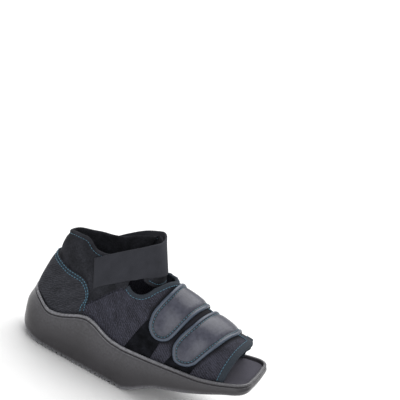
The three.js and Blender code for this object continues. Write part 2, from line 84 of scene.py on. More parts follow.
def spline(points, share, closed=False):
    """Points on a centripetal spline through given points, at shares of its run."""
    points = np.asarray(points, float)
    count = len(points)
    place = np.asarray(share, float) * (count if closed else count - 1)
    i = np.floor(place).astype(int)
    if closed:
        weight = (place - i)[..., None]
        near = [points[(i + k) % count] for k in (-1, 0, 1, 2)]
    else:
        i = np.clip(i, 0, count - 2)
        weight = (place - i)[..., None]
        longer = np.concatenate([[2 * points[0] - points[1]], points, [2 * points[-1] - points[-2]]])
        near = [longer[i + k] for k in range(4)]
    a, b, c, d = near
    gap = [np.maximum(np.sum((q - p) ** 2, axis=-1, keepdims=True) ** 0.25, 1e-9)
           for p, q in ((a, b), (b, c), (c, d))]
    start = ((b - a) / gap[0] - (c - a) / (gap[0] + gap[1]) + (c - b) / gap[1]) * gap[1]
    end = ((c - b) / gap[1] - (d - b) / (gap[1] + gap[2]) + (d - c) / gap[2]) * gap[1]
    return (b + start * weight + (3 * (c - b) - 2 * start - end) * weight ** 2
            + (2 * (b - c) + start + end) * weight ** 3)


def smooth(low, high, value):
    """Eased step from 0 to 1."""
    t = np.clip((value - low) / (high - low), 0, 1)
    return t * t * (3 - 2 * t)


def unit(vectors):
    """Vectors of length 1 along given ones."""
    return vectors / np.maximum(np.linalg.norm(vectors, axis=-1, keepdims=True), 1e-9)


outline_loop = np.array(
    [(x, -outer, 0) for x, outer, inner in outline_rows]
    + [(x, inner, 0) for x, outer, inner in outline_rows[-2:0:-1]]
)
outline_loop[:, 0] += toe_skew * outline_loop[:, 1] * smooth(225, 258, outline_loop[:, 0])


def outline(side, place, inset):
    """Points of the sole's plan outline, moved inwards."""
    count = len(outline_loop)
    place = np.asarray(place, float)
    share = (place if side == outer_side else count - place) / count % 1
    step = 0.0004
    ahead, behind = (spline(outline_loop, (share + way) % 1, True) for way in (step, -step))
    along = unit(ahead - behind)
    inward = np.stack([-along[..., 1], along[..., 0], np.zeros_like(share)], axis=-1)
    return spline(outline_loop, share, True) + inward * np.asarray(inset)[..., None]


def rim_height(x):
    return table_value(rim_rows, 1, x)


def base_height(x):
    return np.maximum(0, table_value(base_rows, 1, x))


def floor_height(x):
    return table_value(floor_rows, 1, x)


def lean_toe(points):
    """Points with the toe's front wall leant forward below the rim."""
    x = points[..., 0]
    points[..., 0] = x + toe_lean * (rim_height(x) - points[..., 2]) * smooth(236, 256, x)
    return points


def run_of(line):
    """Lengths along a line, from its start to each of its points."""
    return np.concatenate([[0], np.cumsum(np.linalg.norm(np.diff(line, axis=0), axis=1))])


# Places round the outline: fine over the tread, so that each bar has its own edges.
tread_start, tread_pitch, tread_bars = 29.0, 6.0, 17
groove_depth, groove_side_depth = 1.6, 1.5
groove_middles = tread_start + tread_pitch * np.arange(1, tread_bars)
groove_marks = (-1.55, -1.1, -0.7, 0.7, 1.1, 1.55, 2.3, 3.0, 3.7)
outline_step = 1.3
dense_places = np.linspace(0, len(outline_rows) - 1, 4001)
dense_line = outline(outer_side, dense_places, 0)
dense_run = run_of(dense_line)
even_places = np.interp(np.arange(0, dense_run[-1], outline_step), dense_run, dense_places)
even_x = outline(outer_side, even_places, 0)[:, 0]
bar_places = np.interp(np.add.outer(groove_middles, groove_marks).ravel(), dense_line[:, 0], dense_places)
on_tread = (even_x > groove_middles[0] - 2) & (even_x < groove_middles[-1] + 4)
sole_places = np.sort(np.concatenate([even_places[~on_tread], bar_places, dense_places[-1:]]))


def all_round(inset, places=sole_places):
    """One turn round the sole at an inset: outer side to the toe, then back along the inner side."""
    inset = np.broadcast_to(np.asarray(inset, float), (2 * len(places) - 1,))
    there, back = inset[:len(places)], inset[len(places) - 1:][::-1]
    return np.concatenate([outline(outer_side, places, there), outline(inner_side, places, back)[-2::-1]])


def groove_share(x):
    """1 in a tread groove and 0 on a bar."""
    return 1 - smooth(0.7, 1.5, np.min(np.abs(x[:, None] - groove_middles), axis=1))


def drawn_in(ring, share):
    """A ring drawn in to a share of the way out from its middle line."""
    middle = (ring + ring[::-1]) / 2
    return middle + (ring - middle) * share


def lay(ring, height, wear_and_highlight):
    """Adds a ring to the sole at a height, with how much wear and painted highlight it has."""
    ring[:, 2] = height
    sole_rings.append(ring)
    sole_wear_and_highlight.append(wear_and_highlight)


base_inset, lower_inset, lower_rise, recess_inset = 5.5, 0.55, 6.5, 4.3
ring_x = all_round(0)[:, 0]
sole_high = rim_height(ring_x) - base_height(ring_x)
rim_scale = np.clip(sole_high / 17, 0.55, 1)
edge_scale = np.clip(0.3 * sole_high / lower_rise, 0, 1)
grooves = groove_share(ring_x)
sole_rings, sole_wear_and_highlight = [], []
for share in (0, 0.3, 0.6, 0.85, 0.95):
    ring = drawn_in(all_round(base_inset), share)
    lay(ring, base_height(ring[:, 0]) + groove_depth * groove_share(ring[:, 0]), 0.5)
# Rounded lower edge: inset, rise above the base, how far the grooves reach, how rubbed it is.
lower_edge = (
    (base_inset, 0, 1, 0.6), (3.9, 0.25, 1, 0.7), (2.7, 0.9, 1, 0.8), (1.8, 1.9, 1, 0.8), (1.2, 3.1, 0.9, 0.6),
    (0.8, 4.6, 0.5, 0.3), (lower_inset, lower_rise, 0, 0),
)
for inset, rise, reach, wear_and_highlight in lower_edge:
    ring = all_round(inset + groove_side_depth * grooves * reach * min(1, rise / 1.2))
    groove = groove_depth * grooves * reach * max(0, 1 - rise / 3.5)
    lay(ring, base_height(ring[:, 0]) + rise * edge_scale + groove, wear_and_highlight)
# Side: from the lower edge out to the fullest line, then in again to the groove under the rim.
# Each row is inset, below (0) or above (1) the fullest line, share of that part, fullness at the heel and
# how much painted highlight it has, which pales the upper side.
heel_bulge = 1.8 * (1 - smooth(60, 150, ring_x))
fullest_share, rim_depth = 0.42, 6.6
side_wall = (
    (0.3, 0, 0.35, 0.6, 0), (0.1, 0, 0.7, 0.9, 0), (0, 0, 1, 1, 0.02),
    (0.06, 1, 0.3, 0.85, 0.06), (0.2, 1, 0.65, 0.45, 0.13), (0.38, 1, 0.9, 0.12, 0.17),
)
for inset, part, share, full, wear_and_highlight in side_wall:
    ring = all_round(inset - heel_bulge * full)
    low = base_height(ring[:, 0]) + lower_rise * edge_scale
    widest = base_height(ring[:, 0]) + fullest_share * sole_high
    high = rim_height(ring[:, 0]) - rim_depth * rim_scale
    lay(ring, low + (widest - low) * share if part == 0 else widest + (high - widest) * share, wear_and_highlight)
# Rim: inset, depth below its crest and how pale it is painted, which is painted highlight along the crest of
# the bead.
# It goes over the lip, the groove and the rolled bead, and down inside.
rim_section = (
    (0.45, 6.2, 0.12), (0.45, 5.6, 0.3), (0.6, 5.1, 0.5), (0.95, 4.75, 0.4), (1.7, 4.5, 0), (2.15, 4.1, 0),
    (1.75, 3.65, 0), (1.1, 3.4, 0.1), (0.8, 3.0, 0.3), (0.62, 2.4, 0.5), (0.6, 1.8, 0.7), (0.8, 1.1, 0.9),
    (1.15, 0.55, 1), (1.7, 0.15, 1), (2.3, 0, 1), (2.95, 0.12, 1), (3.55, 0.6, 0.7), (4.0, 1.4, 0.3),
    (4.2, 2.4, 0.1),
)
for inset, depth, wear_and_highlight in rim_section:
    ring = all_round(inset)
    lay(ring, rim_height(ring[:, 0]) - depth * rim_scale, wear_and_highlight)
for share in (1, 0.9, 0.5, 0):
    ring = drawn_in(all_round(recess_inset), share)
    lay(ring, floor_height(ring[:, 0]), 0)


def set_out(points, values=None):
    """Bmesh of a grid laid over columns and rows of points in millimetres, with doubled points merged."""
    bm = bmesh.new()
    columns, rows = points.shape[0] - 1, points.shape[1] - 1
    bmesh.ops.create_grid(bm, x_segments=columns, y_segments=rows, size=0.5)
    layer = bm.verts.layers.float.new("wear_and_highlight")
    for vert in bm.verts:
        i, j = round((vert.co.x + 0.5) * columns), round((vert.co.y + 0.5) * rows)
        vert.co = (points[i, j] - heel_to_middle) / 1000
        vert[layer] = 0 if values is None else values[i, j]
    bmesh.ops.remove_doubles(bm, verts=bm.verts, dist=1e-6)
    bmesh.ops.dissolve_degenerate(bm, edges=bm.edges, dist=1e-7)
    bmesh.ops.recalc_face_normals(bm, faces=bm.faces)
    return bm


def finished(name, bm, material):
    """Object of a finished bmesh, fixed to the shoe."""
    mesh = bpy.data.meshes.new(name)
    bm.to_mesh(mesh)
    bm.free()
    mesh.shade_smooth()
    mesh.materials.append(material)
    made = bpy.data.objects.new(name, mesh)
    bpy.context.scene.collection.objects.link(made)
    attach(made, "root")
    return made


def paint(code):
    """Linear colour of an sRGB hex code."""
    parts = [int(code[k:k + 2], 16) / 255 for k in (1, 3, 5)]
    return (*[p / 12.92 if p <= 0.04045 else ((p + 0.055) / 1.055) ** 2.4 for p in parts], 1.0)


def add(tree, kind, sockets=(), **settings):
    """Adds a node with its settings, and its sockets as values or links; a node gives its first output."""
    made = tree.nodes.new("ShaderNode" + kind)
    for name, value in settings.items():
        setattr(made, name, value)
    for name, value in dict(sockets).items():
        if isinstance(value, bpy.types.Node):
            value = next(socket for socket in value.outputs if socket.enabled)
        if isinstance(value, bpy.types.NodeSocket):
            tree.links.new(value, made.inputs[name])
        else:
            made.inputs[name].default_value = value
    return made


def new_material(name):
    material = bpy.data.materials.new(name)
    material.use_nodes = True
    material.node_tree.nodes.clear()
    return material, material.node_tree


# Cast polyurethane foam skin: charcoal with a soft gloss, stippled by the mould, paler where rubbed, with
# highlight painted on the rim's crest and heel side.
foam_dark, foam_light, foam_wear_and_highlight = paint("#282629"), paint("#363438"), paint("#b0b1b7")
stipple_mm, cloud_mm, scuff_mm = 1.0, 22.0, 2.2
sole_foam, tree = new_material("cast_polyurethane_foam")
place = add(tree, "TexCoord").outputs["Object"]
clouds = add(tree, "TexNoise", {"Vector": place, "Scale": 1000 / cloud_mm, "Detail": 4.0, "Roughness": 0.6})
stipple = add(tree, "TexVoronoi", {"Vector": place, "Scale": 1000 / stipple_mm})
scuffs = add(tree, "TexNoise", {"Vector": place, "Scale": 1000 / scuff_mm, "Detail": 3.0})
# Wear and painted highlight: this attribute pales the foam towards light grey on rubbed edges and on painted
# highlights.
wear_and_highlight = add(tree, "Attribute", attribute_name="wear_and_highlight").outputs["Fac"]
wear_and_highlight_mix = add(tree, "Math", {0: wear_and_highlight, 1: scuffs}, operation="MULTIPLY")
wear_and_highlight_mix = add(tree, "Math", {0: wear_and_highlight_mix, 1: 0.75}, operation="MULTIPLY")
body = add(tree, "Mix", {0: clouds, 6: foam_dark, 7: foam_light}, data_type="RGBA")
colour = add(tree, "Mix", {0: wear_and_highlight_mix, 6: body, 7: foam_wear_and_highlight}, data_type="RGBA")
gloss = add(tree, "MapRange", {"Value": clouds, "To Min": 0.28, "To Max": 0.38})
relief = add(tree, "Math", {0: stipple, 1: scuffs}, operation="ADD")
bump = add(tree, "Bump", {"Height": relief, "Strength": 0.35, "Distance": 0.00025})
shader = add(tree, "BsdfPrincipled", {
    "Base Color": colour, "Roughness": gloss, "Normal": bump, "IOR": 1.5})
add(tree, "OutputMaterial", {"Surface": shader})

# Wear and painted highlight: both are made stronger towards the heel, lightening the heel's side and rim.
heel_wear_and_highlight = 1.3 - 0.85 * smooth(110, 225, ring_x)
sole_body = set_out(lean_toe(np.stack(sole_rings, axis=1)), np.outer(heel_wear_and_highlight, sole_wear_and_highlight))
sole = finished("sole_casting", sole_body, sole_foam)
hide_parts("sole")

# Insole: a sheet of foam with a knitted nylon cover, die cut and laid loose in the recess of the sole.
# Its edge is rounded by the cutter, and its top is pressed a little hollow.
insole_thick, insole_hollow, insole_step, below_rim = 4.8, 0.8, 2.2, 3.4
insole_places = np.interp(np.arange(0, dense_run[-1], insole_step), dense_run, dense_places)
insole_places = np.concatenate([insole_places, dense_places[-1:]])


def insole_top(x):
    return np.minimum(floor_height(x) + insole_thick, rim_height(x) - below_rim)


# Inset, share of the way out and height over the floor of the recess, then depth below the top.
insole_rings = []
insole_under = ((5.3, 0, 0.4), (5.3, 0.6, 0.4), (5.3, 1, 0.4), (4.9, 1, 0.8), (4.8, 1, 1.3))
insole_over = (
    (4.8, 1, 1.0), (4.9, 1, 0.55), (5.2, 1, 0.2), (5.8, 1, 0.02), (7, 1, 0.05), (7, 0.9, 0.25),
    (7, 0.75, 0.55), (7, 0.5, 0.9), (7, 0.25, 1), (7, 0, 1),
)
for inset, share, layer in insole_under:
    ring = drawn_in(all_round(inset, insole_places), share)
    ring[:, 2] = floor_height(ring[:, 0]) + layer
    insole_rings.append(ring)
for inset, share, depth in insole_over:
    ring = drawn_in(all_round(inset, insole_places), share)
    ring[:, 2] = insole_top(ring[:, 0]) - depth * (insole_hollow if share < 1 else 1)
    insole_rings.append(ring)


def ribbed_cloth(name, lengths, dark, light, sizes_mm, wander, fuzz_rough, relief, finish):
    """Cloth with ribs along it, given the sizes of its ribs, fuzz and clouds, on one of its coordinates."""
    rib_mm, fuzz_mm, cloud_mm = sizes_mm
    material, tree = new_material(name)
    place = add(tree, "TexCoord").outputs[lengths]
    ribs = add(tree, "TexWave", {
        "Vector": place, "Scale": 100 * math.pi / rib_mm, "Distortion": wander[0], "Detail": 2.0,
        "Detail Scale": wander[1]}, bands_direction="Y")
    fuzz = add(tree, "TexNoise", {
        "Vector": place, "Scale": 1000 / fuzz_mm, "Detail": 3.0, "Roughness": fuzz_rough})
    clouds = add(tree, "TexNoise", {"Vector": place, "Scale": 1000 / cloud_mm, "Detail": 3.0})
    weave = add(tree, "Math", {0: ribs.outputs["Fac"], 1: fuzz}, operation="MULTIPLY")
    shade = add(tree, "Math", {0: weave, 1: clouds}, operation="ADD")
    colour = add(tree, "Mix", {0: shade, 6: dark, 7: light}, data_type="RGBA")
    bump = add(tree, "Bump", {"Height": weave, "Strength": relief, "Distance": 0.0003})
    shader = add(tree, "BsdfPrincipled", {"Base Color": colour, "Normal": bump, **finish})
    add(tree, "OutputMaterial", {"Surface": shader})
    return material


# Knitted nylon cover: dull blue grey, with a fine rib that is drawn at 1.6 mm so that it shows.
insole_cover = ribbed_cloth(
    "knitted_nylon_cover", "Object", paint("#302f37"), paint("#4c4a56"), (1.6, 1.1, 25), (1.2, 3.0), 0.5, 0.4,
    {"Roughness": 0.8, "Sheen Weight": 0.1, "Sheen Roughness": 0.5, "Specular IOR Level": 0.25})

insole_body = set_out(lean_toe(np.stack(insole_rings, axis=1)))
insole = finished("insole_sheet", insole_body, insole_cover)
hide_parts("insole")

# Collar: a padded panel of brushed black nylon over foam, which wraps the heel and ends in two ankle wings.
# It is lasted into the sole, rolled over at the top and stitched below the roll with blue thread.
# The upper's stations run from the heel back (0) to the toe edge (11); a height share of 1 is the ridge.
# Each row is place on the sole's outline, top x, half width and z, then rise, reach and drop of the bend.
rim_gap, upper_tuck = 5.0, 2.6
upper_rows = np.array([
    (0, 11, 0, 128, 0.35, 0, 0.35), (1.25, 17, 15, 130.2, 0.35, 0, 0.35),
    (2.8, 36, 26, 131, 0.35, 0, 0.35), (4, 60, 31, 141, 0.36, 0, 0.35),
    (5, 85, 29, 157, 0.38, 0.1, 0.35), (5.9, 104, 17, 168, 0.42, 0.35, 0.22),
    (6.6, 114, 0, 171, 0.46, 0.55, 0), (7.2, 130, 0, 139, 0.5, 0.6, 0),
    (7.95, 150, 0, 119.5, 0.56, 0.62, 0), (9, 182, 0, 111, 0.58, 0.64, 0),
    (9.85, 210, 0, 102, 0.6, 0.64, 0), (10.9, 240.8, 0, 98.5, 0.6, 0.64, 0),
])
last_station = len(upper_rows) - 1
ridge_start = 6
there, back = upper_rows[:0:-1], upper_rows
foot_points = np.concatenate([
    outline(outer_side, there[:, 0], rim_gap), outline(inner_side, back[:, 0], rim_gap)])
top_points = np.concatenate([there[:, 1:4] * (1, -1, 1), back[:, 1:4]])
bend_points = np.concatenate([there[:, 4:7], back[:, 4:7]])


def wall(side, s, h):
    """Points of one side of the upper's outer surface."""
    share = np.clip((last_station + side * s) / (2 * last_station), 0, 1)
    foot = spline(foot_points, share)
    foot[..., 2] = rim_height(foot[..., 0]) - upper_tuck
    top = spline(top_points, share)
    top[..., 1] = np.where(s < 0, top[..., 1], side * np.maximum(0, side * top[..., 1]))
    rise, reach, drop = np.moveaxis(spline(bend_points, share)[..., None], -2, 0)
    upright = np.zeros_like(foot)
    upright[..., 2] = top[..., 2] - foot[..., 2]
    lean = (foot - top) * (1, 1, 0)
    low, high = foot + rise * upright, top + reach * lean - drop * upright
    h = h[..., None]
    return foot * (1 - h) ** 3 + 3 * low * h * (1 - h) ** 2 + 3 * high * h ** 2 * (1 - h) + top * h ** 3


def upper(side, s, h, lift=0.0):
    """Points of the upper, past the ridge where h is above 1, lifted off its surface."""
    s, h = np.broadcast_arrays(np.asarray(s, float), np.asarray(h, float))

    def over(a, b):
        crossed = (b > 1) & (a >= ridge_start)
        return wall(np.where(crossed, -side, side), a, np.where(crossed, 2 - b, b))

    step = 0.004
    normal = np.cross(over(s + step, h) - over(s - step, h), over(s, h + step) - over(s, h - step))
    normal *= -np.asarray(side)[..., None]
    return over(s, h) + unit(normal) * np.asarray(lift)[..., None]


def both_sides(stations):
    """Stations from the outer end round the heel to the inner end, and the side that each is on."""
    signed = np.concatenate([-stations[:0:-1], stations])[:, None]
    return np.abs(signed), np.where(signed <= 0, outer_side, inner_side)


def spread(count, length, start=True, end=True):
    """Shares of a length in mm, closer together at the ends, where an edge is rolled."""
    fine = np.array([0.0, 0.3, 0.8, 1.5]) / length
    inner = np.linspace(2.6 / length if start else 0, 1 - (2.6 / length if end else 0), count)
    return np.unique(np.concatenate([fine if start else [0], inner, 1 - fine if end else [1]]))


def border_of(points, sides):
    """Points along the named borders of a grid, close together."""
    lines = {"start": points[0], "end": points[-1], "low": points[:, 0], "high": points[:, -1]}
    dense = [line[:-1, None] + (line[1:, None] - line[:-1, None]) * np.linspace(0, 1, 5)[:, None]
             for line in (lines[side] for side in sides)]
    return np.concatenate([line.reshape(-1, 3) for line in dense])


def nearest(points):
    """Search tree that finds the nearest of some points."""
    tree = KDTree(len(points))
    for k, point in enumerate(points):
        tree.insert(point, k)
    tree.balance()
    return tree


def edge_distance(points, sides=("start", "end", "low", "high")):
    """Distance in mm of each point of a grid from the named borders."""
    tree = nearest(border_of(points, sides))
    flat = points.reshape(-1, 3)
    return np.array([tree.find(point)[2] for point in flat]).reshape(points.shape[:2])


def rolled(distance, radius):
    """Share of its full half thickness that a rolled edge has at a distance from the edge."""
    return np.sqrt(1 - (1 - np.clip(distance / radius, 0.04, 1)) ** 2)


def ripples(points, size, seed):
    """Soft random waves of a size in mm over a grid of points, from -1 to 1."""
    offset = Vector((seed * 7.3, seed * 3.1, seed * 5.7))
    flat = [noise.noise(Vector(p) / size + offset) for p in points.reshape(-1, 3)]
    return np.array(flat).reshape(points.shape[:2])


def soft_body(outer, inner, edge=None):
    """Closed bmesh of a cloth piece between two grids, with cloth lengths in metres as its UV map."""
    bm = bmesh.new()
    uv_layer = bm.loops.layers.uv.new("cloth")
    edge_layer = bm.verts.layers.float.new("edge")
    columns, rows = outer.shape[0] - 1, outer.shape[1] - 1
    bmesh.ops.create_grid(bm, x_segments=columns, y_segments=rows, size=0.5)
    front = list(bm.verts)
    made = bmesh.ops.extrude_face_region(bm, geom=list(bm.faces))
    behind = [item for item in made["geom"] if isinstance(item, bmesh.types.BMVert)]
    run = np.zeros(outer.shape[:2] + (2,))
    run[1:, :, 0] = np.cumsum(np.linalg.norm(np.diff(outer, axis=0), axis=-1), axis=0)
    run[:, 1:, 1] = np.cumsum(np.linalg.norm(np.diff(outer, axis=1), axis=-1), axis=1)
    lengths = {}
    for verts, face in ((front, outer), (behind, inner)):
        for vert in verts:
            i, j = round((vert.co.x + 0.5) * columns), round((vert.co.y + 0.5) * rows)
            vert.co = (face[i, j] - heel_to_middle) / 1000
            vert[edge_layer] = 0 if edge is None else edge[i, j]
            lengths[vert] = run[i, j] / 1000
    for face in bm.faces:
        for loop in face.loops:
            loop[uv_layer].uv = lengths[loop.vert]
    bmesh.ops.recalc_face_normals(bm, faces=bm.faces)
    return bm


def grid_normals(points, like):
    """Unit normals of a grid, on the side that another grid lies away from."""
    normal = unit(np.cross(np.gradient(points, axis=0), np.gradient(points, axis=1)))
    return normal * np.sign(np.sum(normal * (points - like), axis=(0, 1, 2)))


def calmed(line, times):
    """A line with each point drawn towards its neighbours."""
    for _ in range(times):
        line[1:-1] = (line[:-2] + 2 * line[1:-1] + line[2:]) / 4
    return line


class CutEdge:
    """A border line of a cloth piece: its points, the way in from it over the cloth, and the outer face."""

    def __init__(self, outer, inner, line, inside):
        self.face, self.normals = outer.reshape(-1, 3), grid_normals(outer, inner).reshape(-1, 3)
        self.points = np.array([outer[i, j] for i, j in line])
        self.tree, self.border = nearest(self.face), nearest(self.points)
        self.under = np.array([inner[i, j] for i, j in line])
        along = unit(np.gradient(self.points, axis=0))
        way = np.array([outer[i, j] for i, j in inside]) - self.points
        self.way = unit(way - along * np.sum(way * along, axis=1, keepdims=True))
        for _ in range(6):
            self.way = unit(calmed(self.way, 1))

    def at(self, distance, calm=4):
        """Line on the outer face at a distance in from the edge, and the face's normals there."""
        line = calmed(self.points + self.way * np.asarray(distance)[..., None], calm)
        from_edge = line - np.array([self.border.find(point)[0] for point in line])
        far = np.linalg.norm(from_edge, axis=1)
        line += from_edge * (distance / np.maximum(far, 0.3) - 1)[:, None]
        line = calmed(line, calm // 2)
        near = [self.tree.find(point)[1] for point in line]
        normal = self.normals[near]
        line -= normal * np.sum((line - self.face[near]) * normal, axis=1, keepdims=True)
        return line, normal


def high_edge(faces, columns):
    """The cut edge along the last row of a cloth piece's grids, over some of its columns."""
    last = faces[0].shape[1] - 1
    return CutEdge(*faces, [(i, last) for i in columns], [(i, last - 5) for i in columns])


def on_line(at, run, line):
    """Point or normal at a length along a line."""
    return np.array([np.interp(at, run, line[:, k]) for k in range(3)])


def lay_thread(bm, start, end, up, thick):
    """Adds one thread between two points in mm."""
    along = Vector(end - start)
    across = up.cross(along).normalized()
    up = along.cross(across).normalized()
    middle = Vector((start + end) / 2 - heel_to_middle) + up * thick * 0.12
    columns = (across * thick / 2, up * thick / 2, along / 2, middle)
    matrix = Matrix([[c[k] / 1000 for c in columns] for k in range(3)] + [[0, 0, 0, 1]])
    bmesh.ops.create_uvsphere(bm, u_segments=7, v_segments=6, radius=1, matrix=matrix)


def sewn(name, lines, pitch=3.6, length=3.0, thick=0.85):
    """Object of rows of blue stitches, each a short thread that dips into the cloth at both ends."""
    bm = bmesh.new()
    for line, normal in lines:
        run = run_of(line)
        for start in np.arange(0.6, run[-1] - length, pitch):
            ends = [on_line(at, run, line) for at in (start, start + length)]
            up = Vector(on_line(start + length / 2, run, normal)).normalized()
            lay_thread(bm, ends[0], ends[1], up, thick)
    return finished(name, bm, blue_thread)


# Bonded polyester thread: mid blue for rows of stitches, navy for crossing threads, a little glossy, twisted.
thread_shades = {"blue": (paint("#2a4a5c"), paint("#5f8ba0")), "navy": (paint("#0e1d28"), paint("#1d3646"))}
twist_mm, threads = 0.9, {}
for name, (dark, light) in thread_shades.items():
    threads[name], tree = new_material("bonded_polyester_thread_" + name)
    place = add(tree, "TexCoord").outputs["Object"]
    twist = add(tree, "TexNoise", {"Vector": place, "Scale": 1000 / twist_mm, "Detail": 2.0})
    colour = add(tree, "Mix", {0: twist, 6: dark, 7: light}, data_type="RGBA")
    bump = add(tree, "Bump", {"Height": twist, "Strength": 0.4, "Distance": 0.0002})
    shader = add(tree, "BsdfPrincipled", {
        "Base Color": colour, "Roughness": 0.55, "Normal": bump, "Sheen Weight": 0.1,
        "Specular IOR Level": 0.3})
    add(tree, "OutputMaterial", {"Surface": shader})
blue_thread, navy_thread = threads["blue"], threads["navy"]

topline_rows = np.array([
    (0, 0.985, 0.985), (0.55, 1.012, 0.968), (1.08, 1.04, 0.958), (1.66, 1.074, 0.962), (1.9, 1.078, 0.964),
    (2.13, 1.052, 0.96), (2.34, 1, 0.948), (2.53, 0.961, 0.932), (2.78, 0.93, 0.912), (3.07, 0.906, 0.897),
    (3.6, 0.89, 0.89), (4.2, 0.89, 0.89), (4.8, 0.89, 0.89),
])
seam_rows = np.array([
    (3.2, 0.165), (3.48, 0.203), (3.84, 0.304), (4.18, 0.408), (4.51, 0.463), (4.83, 0.442),
])
counter_rows = np.array([
    (0, 0.64), (0.5, 0.614), (1.1, 0.605), (1.5, 0.603), (2.01, 0.599), (2.49, 0.572), (2.81, 0.51),
    (3.15, 0.387), (3.35, 0.266), (3.41, 0.17), (3.45, 0.06),
])
collar_thick, collar_end, seam_start, seam_lap, counter_end = 3.0, 4.72, 3.18, 0.022, 3.45
stitch_depth, wall_high = 4.4, 85
station, side = both_sides(np.concatenate([
    np.linspace(0, 3.12, 60), [3.16, 3.2], np.linspace(3.24, 4.6, 30),
    [4.64, 4.67, 4.69, 4.705, collar_end]]))
low = np.where(station < seam_start, 0, table_value(seam_rows, 1, station) - seam_lap)
topline = np.where(side == outer_side, table_value(topline_rows, 1, station),
                   table_value(topline_rows, 2, station))
collar_h = low + (topline - low) * spread(58, 90, start=False)[None, :]
station, side = station + 0 * collar_h, side + 0 * collar_h
flat_collar = upper(side, station, collar_h)
to_top = edge_distance(flat_collar, ("high",))
to_end = edge_distance(flat_collar, ("start", "end"))
to_edge = np.minimum(to_top, to_end)
counter_top = table_value(counter_rows, 1, np.minimum(station, counter_end))
above_counter = (collar_h - np.where(station < counter_end, counter_top, 0)) * wall_high
behind_wing = 1 - smooth(2.2, 2.8, station)
padding = 1.5 * smooth(1, 14, above_counter) * smooth(4.5, 12, to_top) * behind_wing
soft_part = smooth(4, 14, above_counter) * smooth(5, 12, to_top) * behind_wing
padding += 0.7 * ripples(flat_collar, 13, 1) * soft_part
padding += 0.6 * smooth(0, 1.5, to_top) * (1 - smooth(2.4, 4.2, to_top))
padding -= 0.7 * np.exp(-((to_top - stitch_depth) / 0.8) ** 2)
lap = np.where(station > seam_start, 1 - smooth(2.6, 4.2, (collar_h - low) * wall_high), 0)
half = collar_thick / 2
roll = rolled(to_edge, 2.2)
collar_out = -half + (half + padding) * roll + 0.3 * lap
collar_in = -half - (half + 0.5 * smooth(3, 14, to_edge)) * roll * (1 - lap) + lap * (half - 0.8)
collar_faces = [upper(side, station, collar_h, lift) for lift in (collar_out, collar_in)]


def brushed_cloth(name, dark, light, tuft_mm, cloud_mm, detail, finish):
    """Cloth with a brushed face, given the sizes of its tufts and of the clouds in its shade."""
    material, tree = new_material(name)
    place = add(tree, "TexCoord").outputs["Object"]
    nap = add(tree, "TexNoise", {
        "Vector": place, "Scale": 1000 / tuft_mm, "Detail": detail, "Roughness": 0.7})
    clouds = add(tree, "TexNoise", {"Vector": place, "Scale": 1000 / cloud_mm, "Detail": detail - 1})
    shade = add(tree, "Math", {0: nap, 1: clouds}, operation="MULTIPLY")
    shade = add(tree, "MapRange", {"Value": shade, "From Min": 0.12, "From Max": 0.42})
    colour = add(tree, "Mix", {0: shade, 6: dark, 7: light}, data_type="RGBA")
    bump = add(tree, "Bump", {"Height": nap, "Strength": 0.5, "Distance": 0.0004})
    shader = add(tree, "BsdfPrincipled", {"Base Color": colour, "Normal": bump, **finish})
    add(tree, "OutputMaterial", {"Surface": shader})
    return material


# Brushed nylon over foam: near black, with a soft nap that catches a little light at grazing angles.
brushed_nylon = brushed_cloth("brushed_nylon", paint("#17181b"), paint("#34353b"), 1.8, 14, 4.0, {
    "Roughness": 0.9, "Sheen Weight": 0.06, "Sheen Roughness": 0.5, "Sheen Tint": paint("#8f949c"),
    "Specular IOR Level": 0.15})
collar = finished("collar_pad", soft_body(*collar_faces, to_edge), brushed_nylon)
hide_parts("collar")
sewn("collar_stitches", [high_edge(collar_faces, range(len(flat_collar))).at(stitch_depth)])

# Heel counter: a stiff overlay of spacer mesh cloth, cut in one piece round the heel, tucked behind the rim.
# Its edge is flat-locked to the collar with two rows of blue stitches and a crossing thread between them.
counter_thick, counter_low, counter_bulge = 1.9, 0.014, 1.4
station, side = both_sides(np.concatenate([
    np.linspace(0, 2.7, 56), np.linspace(2.75, 3.3, 18), np.linspace(3.32, counter_end, 14)]))
counter_h = table_value(counter_rows, 1, station)
counter_h = counter_low + (counter_h - counter_low) * spread(44, 60, start=False)[None, :]
station, side = station + 0 * counter_h, side + 0 * counter_h
flat_counter = upper(side, station, counter_h)
to_edge = edge_distance(flat_counter, ("start", "end", "high"))
tuck = 1 - smooth(0.025, 0.07, counter_h)
band = 0.35 * smooth(5, 7.5, to_edge) + 0.25 * ripples(flat_counter, 20, 2) * smooth(6, 14, to_edge)
band += counter_bulge * (1 - smooth(0.5, 1.9, station)) * smooth(0, 16, to_edge)
counter_out = 0.1 + (counter_thick + band) * rolled(to_edge, 1.3) * (1 - 0.68 * tuck)
counter_in = 0.1 + 0 * counter_out
counter_faces = [upper(side, station, counter_h, lift) for lift in (counter_out, counter_in)]

# Spacer mesh cloth: a dark knitted face of slanting loops, drawn at 1.8 mm so that they show.
# It has duller patches, and beside the straps it is darkened with painted shade.
mesh_painted_shade, loop_mm = paint("#0c0d10"), 1.8


